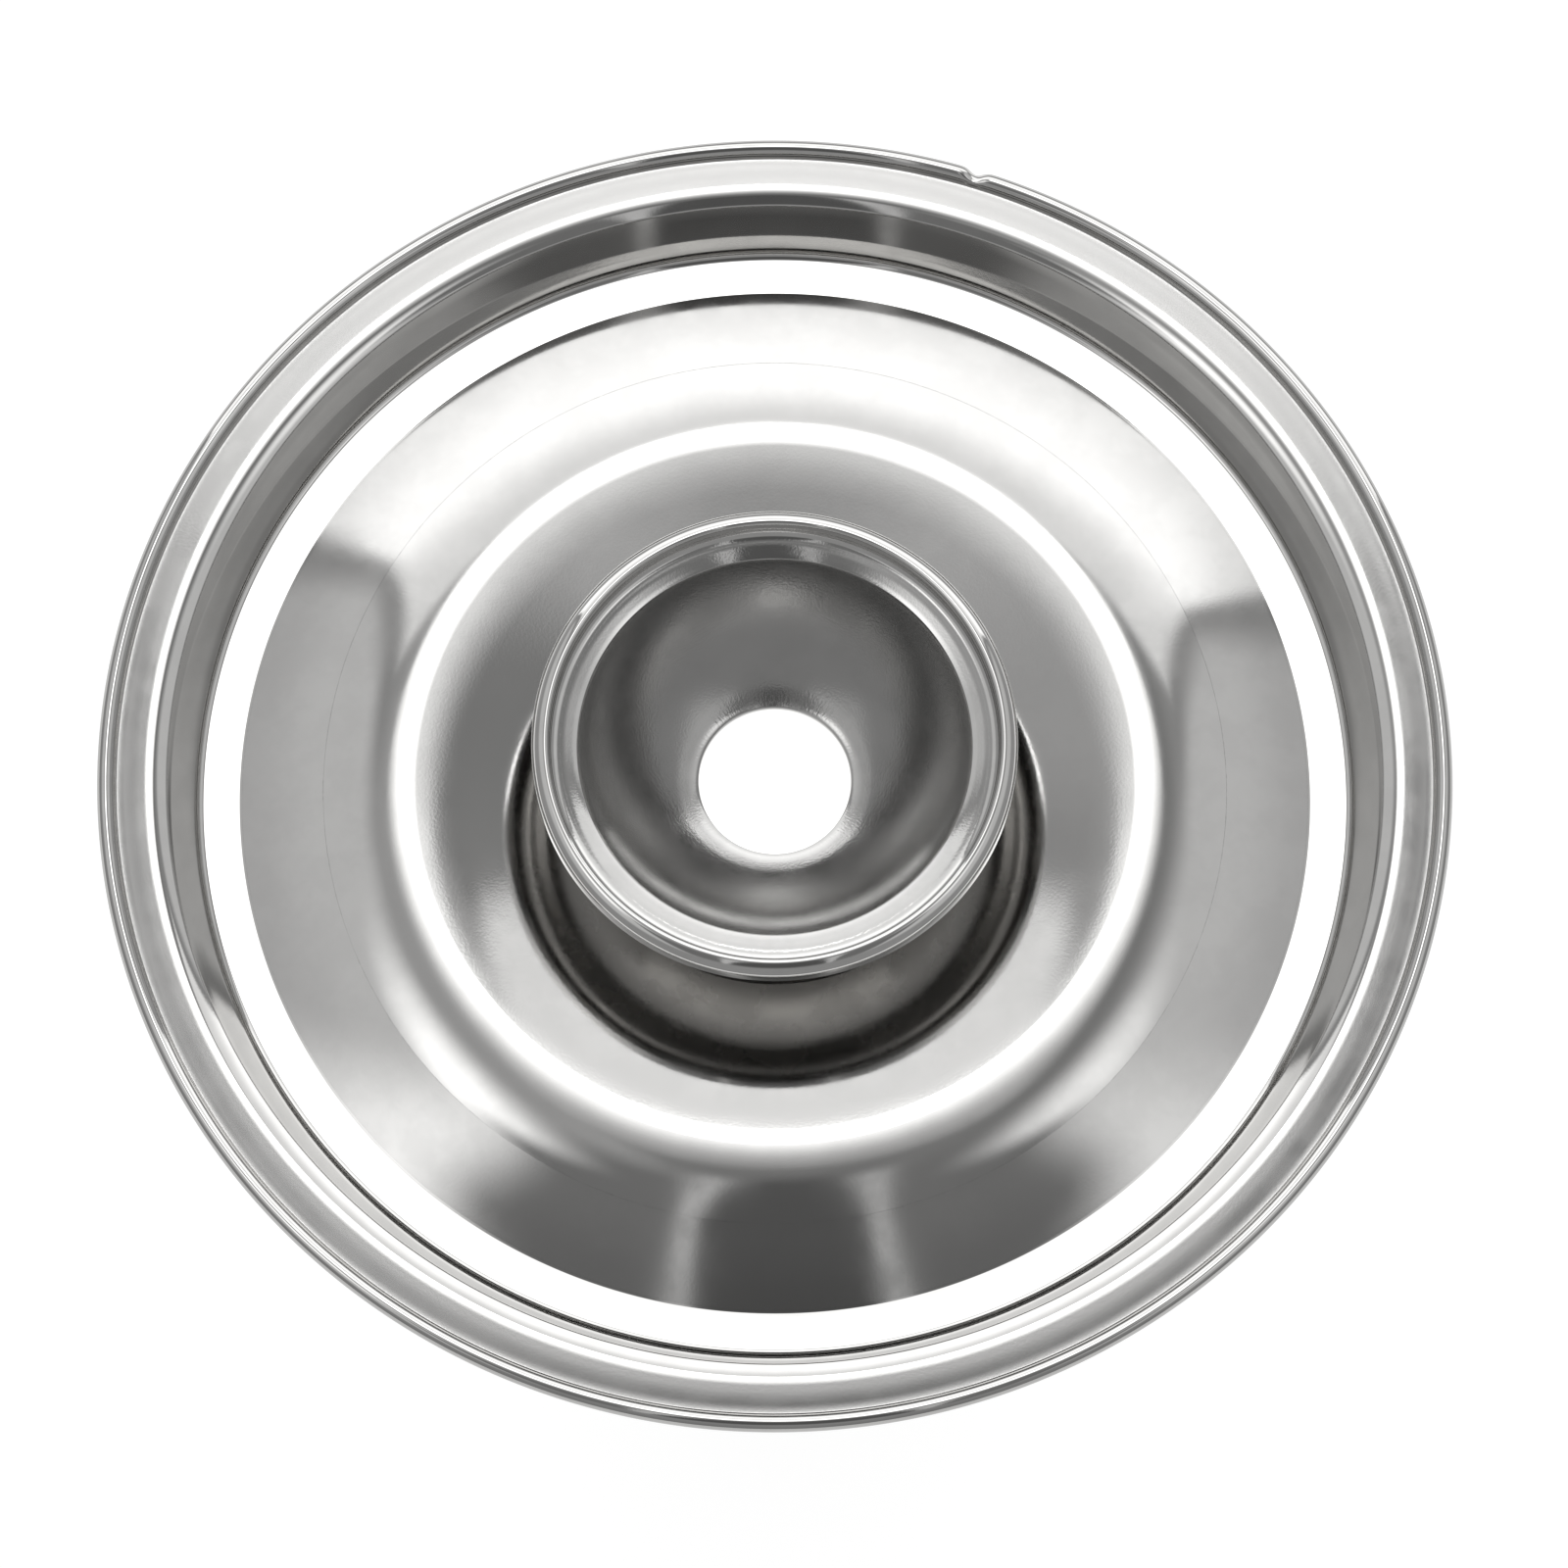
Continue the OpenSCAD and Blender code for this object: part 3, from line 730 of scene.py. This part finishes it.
def cup_amounts(t, r):
    """The roll and floor are polished, the bowl and flare grained, the collar has draw marks, and
    painted shade darkens the bowl.
    """
    in_bowl = t.band(r, (6.6, 7.6), (16.2, 16.8))
    on_flare = t.band(r, (16.2, 16.8), (18.8, 19.1))
    on_collar = t.band(r, (6.5, 7.1), (8.0, 8.7))
    line_height = t.sum(0.0002, (on_collar, 0.012))
    grain_height = t.sum(0.0004, (in_bowl, 0.012), (on_flare, 0.002))
    rough = t.sum(0.05, (in_bowl, 0.13), (on_flare, 0.02))
    # painted shade: the bowl's colour is darkened
    painted_shade = t.math("SUBTRACT", 1.0, t.math("MULTIPLY", in_bowl, 1 - PAINTED_BOWL_SHADE))
    return line_height, grain_height, rough, painted_shade


# colour, brushing (along, across), grain, amounts, and where they differ from
# the usual ones, the ring coordinate across the brushing and the anisotropy
finishes = {
    "lid": (STEEL, (14.0, 9.0), 4200.0, lid_amounts),
    "cup": (STEEL, (40.0, 1.2), 5200.0, cup_amounts),
    # painted shade: the cup's under side gets a darker colour than the rest of its steel
    "shaded_underside": ((0.42, 0.41, 0.395, 1.0), (20.0, 4.0), 4200.0, (0.0012, 0.006, 0.26, None)),
    "well": ((0.60, 0.595, 0.585, 1.0), (9.0, 6.0), 3500.0, (0.001, 0.006, 0.16, None), "Height"),
    "hopper": ((0.52, 0.515, 0.505, 1.0), (3.0, 2.2), 3800.0, (0.012, 0.002, 0.16, None),
               "Height", 0.3),
    "valve": (STEEL, (8.0, 9.0), 3800.0, (0.0012, 0.002, 0.12, None)),
    "turned": ((0.62, 0.615, 0.605, 1.0), (3.0, 14.0), 3800.0, (0.0012, 0.001, 0.2, None),
               "Height"),
    "rod": ((0.64, 0.635, 0.625, 1.0), (2.0, 9.0), 3800.0, (0.0008, 0.001, 0.15, None), "Height"),
    "spring": ((0.50, 0.495, 0.485, 1.0), (6.0, 5.0), 5200.0, (0.0005, 0.003, 0.24, None),
               "Height"),
    "fastener": ((0.60, 0.595, 0.58, 1.0), (5.0, 12.0), 4800.0, (0.001, 0.002, 0.22, None)),
}
steels = {key: steel_material(key + "_steel", *values) for key, values in finishes.items()}
print("steels:", ", ".join(sorted(m.name for m in steels.values())))

# %% [markdown]
# Each piece takes the steel that its slot names. The faces of the cup come in
# rows of the grid: first the upper side of the sheet, then its under side, and
# last the two fans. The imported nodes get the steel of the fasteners. Of these
# only the stop clip shows, because no finer piece stands for it.

# %% Steel on the pieces
for piece in (o for o in bpy.data.objects if o.type == "MESH" and "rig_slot" in o):
    piece.data.materials.clear()
    piece.data.materials.append(steels[piece["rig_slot"].replace("_steel", "")])
# the under side of the cup takes the steel that is darkened as painted shade
cup.data.materials.append(steels["shaded_underside"])
quad_rows = len(cup_top) + len(cup_under) - 3
is_under = np.repeat(np.arange(quad_rows) >= len(cup_top) - 1, CUP_COLUMNS)
fan_is_under = np.repeat([False, True], CUP_COLUMNS)
cup.data.polygons.foreach_set(
    "material_index", np.concatenate([is_under, fan_is_under]).astype(np.int32))
for node in nodes.values():
    node.data.materials.clear()
    node.data.materials.append(steels["fastener"])
print("materials:", ", ".join(sorted(m.name for m in bpy.data.materials)))

# %% [markdown]
# Polished steel has no colour of its own to speak of: it shows the room. So
# the light here is drawn as a room round the object, in the world shader. A
# soft box hangs overhead, a wide pale wall stands behind the object, the sides
# are grey, and the room is dark in front, with two thin bars of light. Low
# down, towards the horizon, all of it is dimmer. The world is drawn on a flat
# ceiling one unit up, at u = x / z and v = y / z of each direction, so u runs
# to the right and v to the back, and every step below runs between two places
# on it. The camera itself sees plain white.

# %% The room
scene = bpy.context.scene
world = bpy.data.worlds.new("studio")
scene.world = world
world.use_nodes = True
world.node_tree.nodes.clear()
t = Tree(world.node_tree)
ray = t.add("ShaderNodeTexCoord").outputs["Generated"]
split = t.add("ShaderNodeSeparateXYZ", {0: ray}).outputs
above = t.math("MAXIMUM", split[2], 0.02)
u, v = t.math("DIVIDE", split[0], above), t.math("DIVIDE", split[1], above)


def blob(u_mid, u_half, v_mid, v_half):
    """Mask of a soft round patch: 1 near its middle, 0 from 1.8 times its half sizes on."""
    du = t.math("DIVIDE", t.math("SUBTRACT", u, u_mid), u_half)
    dv = t.math("DIVIDE", t.math("SUBTRACT", v, v_mid), v_half)
    reach = t.math("SQRT", t.math("ADD", t.math("MULTIPLY", du, du), t.math("MULTIPLY", dv, dv)))
    return t.step(reach, 0.2, 1.8, 1.0, 0.0)


def both(a, b):
    """Mask where both masks are 1."""
    return t.math("MULTIPLY", a, b)


def bar(offset):
    """Mask of a narrow bar where the offset is near 0."""
    return t.step(t.math("ABSOLUTE", offset), 0.006, 0.026, 1.0, 0.0)


def lit(base, mask, strength):
    """The base strength where the mask is 0, moving to strength where it is 1."""
    return t.mix(mask, base, strength)


# the strengths of the light, part by part
CENTRE, LEFT_OF_CENTRE, SIDES, SIDES_FAR = 0.24, 0.42, 0.66, 0.36
FRONT, WEDGE, BARS, FRONT_FAR, PATCH_LEFT, PATCH_RIGHT = 0.2, 0.11, 0.62, 0.34, 1.7, 1.25
WALL_FOOT, WALL_LOW, WALL_HIGH, WALL_FAR = 0.30, 1.02, 1.6, 0.45
BOX, BOX_GLOW, BELOW = 3.1, 0.5, 0.8

# the grey sides, which are dimmer far out, and the darker centre between them
away, beside = t.math("ABSOLUTE", t.math("SUBTRACT", u, 0.02)), t.math("ABSOLUTE", u)
room = t.math("MAXIMUM", t.step(away, 0.18, 0.42, CENTRE, SIDES),
              t.step(u, -0.02, -0.12, 0.0, LEFT_OF_CENTRE))
room = lit(room, t.step(away, 0.9, 1.6), SIDES_FAR)

# the dark front, with a bright patch on each side of it
room = lit(room, both(t.step(away, 0.46, 0.28), t.step(v, 0.04, -0.1)), FRONT)
room = lit(room, blob(-0.39, 0.13, -0.07, 0.17), PATCH_LEFT)
room = lit(room, blob(0.39, 0.13, -0.07, 0.15), PATCH_RIGHT)
room = lit(room, both(t.step(away, 0.5, 0.34), t.step(v, -0.08, -0.2)), FRONT)

# the pale wall behind, whose edge bends away on both sides, with a dim foot before it
left, right = t.math("SUBTRACT", -0.25, u), t.math("SUBTRACT", u, 0.30)
bent = t.math("MAXIMUM", t.sum(0.43, left), t.sum(0.416, (right, 0.82)))
past_edge = t.math("SUBTRACT", v, t.math("MAXIMUM", 0.425, bent))
foot_of_wall = both(t.step(past_edge, -0.13, -0.03), t.step(away, 0.12, 0.3))
room = lit(room, foot_of_wall, WALL_FOOT)
room = lit(room, t.step(past_edge, -0.02, 0.02), t.step(v, 0.45, 0.95, WALL_LOW, WALL_HIGH))
room = lit(room, t.step(v, 1.7, 2.6), WALL_FAR)

# in front, a darker wedge that widens towards the near side, and two leaning bars
lean = t.math("MULTIPLY", v, 0.25)
bars = t.math("MAXIMUM", bar(t.math("SUBTRACT", t.math("SUBTRACT", u, lean), -0.045)),
              bar(t.math("SUBTRACT", t.math("ADD", u, lean), 0.07)))
near = t.sum(0.03, (lean, -1.0))
wedge = t.step(t.math("SUBTRACT", away, near), 0.03, -0.01)
room = lit(room, both(wedge, t.step(v, 0.04, -0.06)), WEDGE)
room = lit(room, both(bars, t.step(v, 0.02, -0.06)), BARS)
room = lit(room, t.step(v, -0.5, -0.9), FRONT_FAR)

# the soft box overhead, with a glow round it and a curved far edge
box_glow = both(t.step(v, -0.02, 0.12), t.step(beside, 0.25, 0.12, 0.0, BOX_GLOW))
room = t.math("MAXIMUM", room, box_glow)
crown = t.sum(v, (t.math("MULTIPLY", u, u), 5.0))
box = both(t.step(beside, 0.205, 0.03), t.step(v, 0.09, 0.42))
room = lit(room, both(box, t.step(crown, 0.49, 0.46)), BOX)

# below the horizon
room = lit(room, t.step(split[2], 0.02, -0.02), BELOW)
path = t.add("ShaderNodeLightPath").outputs
seen = t.add("ShaderNodeBackground", {"Color": (1, 1, 1, 1), "Strength": 1.0}).outputs[0]
around = t.add("ShaderNodeBackground", {"Color": (1, 1, 1, 1), "Strength": room}).outputs[0]
mixed = t.add("ShaderNodeMixShader", {0: path["Is Camera Ray"], 1: around, 2: seen}).outputs[0]
t.add("ShaderNodeOutputWorld", {"Surface": mixed})
scene.view_settings.view_transform = "Standard"
print("room drawn with", len(world.node_tree.nodes), "nodes")

# %% [markdown]
# The floor is a wide pale disc. It takes the object's shadow from the room's
# light, and adds most of its white as its own glow for the camera and for
# reflections, so the ground stays as white as paper and the shadow is faint.

# %% The floor
FLOOR_RADII, FLOOR_COLUMNS = (3000.0, 1500.0, 400.0), 96
a = np.linspace(0, 2 * math.pi, FLOOR_COLUMNS, endpoint=False)
floor_rings = [np.stack([r * np.cos(a), r * np.sin(a), 0 * a], 1) for r in FLOOR_RADII]
floor_points = np.concatenate([*floor_rings, [[0, 0, 0]]])
k, middle = np.arange(FLOOR_COLUMNS), len(FLOOR_RADII) * FLOOR_COLUMNS
inner = middle - FLOOR_COLUMNS
fan = np.stack([0 * k + middle, inner + k, inner + (k + 1) % FLOOR_COLUMNS], 1)
floor_faces = grid_quads(len(FLOOR_RADII), FLOOR_COLUMNS).tolist() + fan.tolist()
floor_mesh = bpy.data.meshes.new("floor")
floor_mesh.from_pydata((floor_points * MM).tolist(), [], floor_faces)
floor = bpy.data.objects.new("floor", floor_mesh)
scene.collection.objects.link(floor)

paper = bpy.data.materials.new("paper_floor")
paper.use_nodes = True
paper.node_tree.nodes.clear()
t = Tree(paper.node_tree)
path = t.add("ShaderNodeLightPath").outputs
shown = t.math("MAXIMUM", path["Is Camera Ray"],
               t.math("MAXIMUM", path["Is Glossy Ray"], path["Is Transmission Ray"]))
speck = t.noise(t.add("ShaderNodeTexCoord").outputs["Object"], 900.0)
paper_tint = t.tint(speck, (0.78, 0.78, 0.78, 1), (0.82, 0.82, 0.82, 1))
matt = t.add("ShaderNodeBsdfDiffuse", {"Color": paper_tint})
pale = t.add("ShaderNodeBsdfDiffuse", {"Color": (0.25, 0.25, 0.25, 1)})
glow = t.add("ShaderNodeEmission", {"Strength": 0.9})
glowing = t.add("ShaderNodeAddShader", {0: pale.outputs[0], 1: glow.outputs[0]})
top = t.add("ShaderNodeMixShader", {0: shown, 1: matt.outputs[0], 2: glowing.outputs[0]})
t.add("ShaderNodeOutputMaterial", {"Surface": top.outputs[0]})
floor_mesh.materials.append(paper)
print("floor:", len(floor_mesh.polygons), "faces")

# %% [markdown]
# The camera looks down at the lid from the front, at an elevation of 72.3
# degrees and 740 mm from the middle of the rim, through a long lens.

# %% The camera
ELEVATION, DISTANCE = math.radians(72.29), 740 * MM
SENSOR, FOCAL_PIXELS, FRAME_PIXELS = 36.0, 8904.8, 1600
aim = np.array([0.78, -1.15, RIM_Z]) * MM
towards = np.array([0, math.cos(ELEVATION), -math.sin(ELEVATION)])
camera_data = bpy.data.cameras.new("camera")
camera_data.sensor_width = SENSOR
camera_data.lens = SENSOR * FOCAL_PIXELS / FRAME_PIXELS
camera_data.clip_start = 0.01
camera_data.clip_end = 20.0
camera = bpy.data.objects.new("camera", camera_data)
camera.location = aim - DISTANCE * towards
camera.rotation_euler = (math.pi / 2 - ELEVATION, 0, 0)
scene.collection.objects.link(camera)
scene.camera = camera
print("camera at", [round(c, 4) for c in camera.location])
